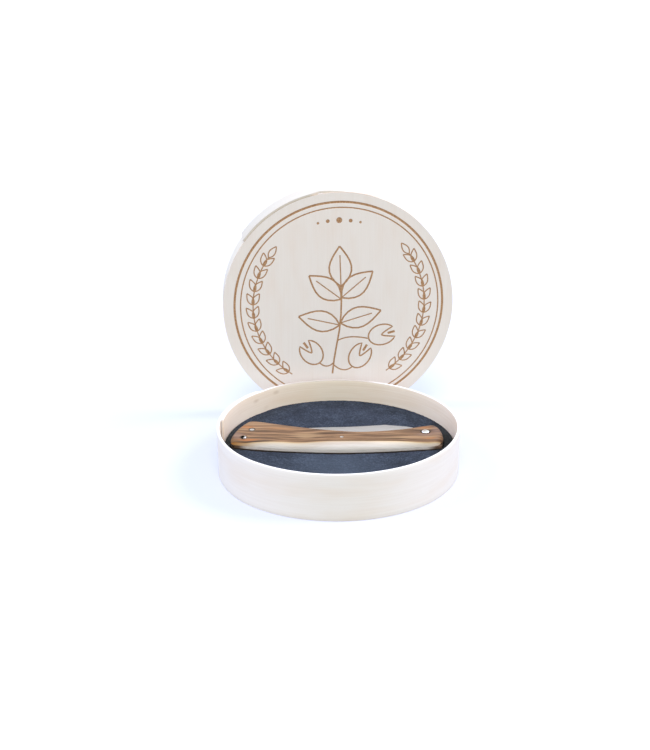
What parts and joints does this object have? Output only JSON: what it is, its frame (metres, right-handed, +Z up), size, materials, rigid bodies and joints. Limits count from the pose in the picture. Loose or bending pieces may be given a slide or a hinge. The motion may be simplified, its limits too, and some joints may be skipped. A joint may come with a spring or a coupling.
{
  "type": "boxed folding pocket knife",
  "caption": "Closed folding pocket knife with a two-tone wood handle, half sunk in dark foam in a round bent-veneer box, its engraved lid standing on its rim behind.",
  "frame": {"origin": "centre of the base's underside", "axes": "+Z up; +X runs along the closed knife towards its pivot; +Y points from the base to the lid that stands behind it"},
  "size_m": [0.1197, 0.1445, 0.1193],
  "materials": {
    "veneer": "raw, lightly sanded pale veneer",
    "foam": "fine-celled matte foam, dark slate grey",
    "handle_wood": "oiled and polished, brown heartwood with a cream sapwood edge",
    "spring_steel": "finely brushed along its length",
    "blade_steel": "satin",
    "pin_steel": "polished flush with the wood"
  },
  "bodies": {
    "box": {"base_floor": "veneer", "base_band": "veneer", "foam_insert": "foam", "lower_scale": "handle_wood", "upper_scale": "handle_wood", "back_spring": "spring_steel", "pivot_rivet": "pin_steel", "butt_pin": "pin_steel", "middle_pin": "pin_steel", "lanyard_tube": "pin_steel", "lid_disc": "veneer", "lid_band": "veneer"},
    "blade": {"blade": "blade_steel"}
  },
  "joints": [
    {"name": "blade_pivot", "type": "hinge", "parent": "box", "child": "blade", "pos_m": [0.042, 0.0026, 0.0118], "axis": [0, 0, -1], "range_deg": [0, 40]}
  ]
}
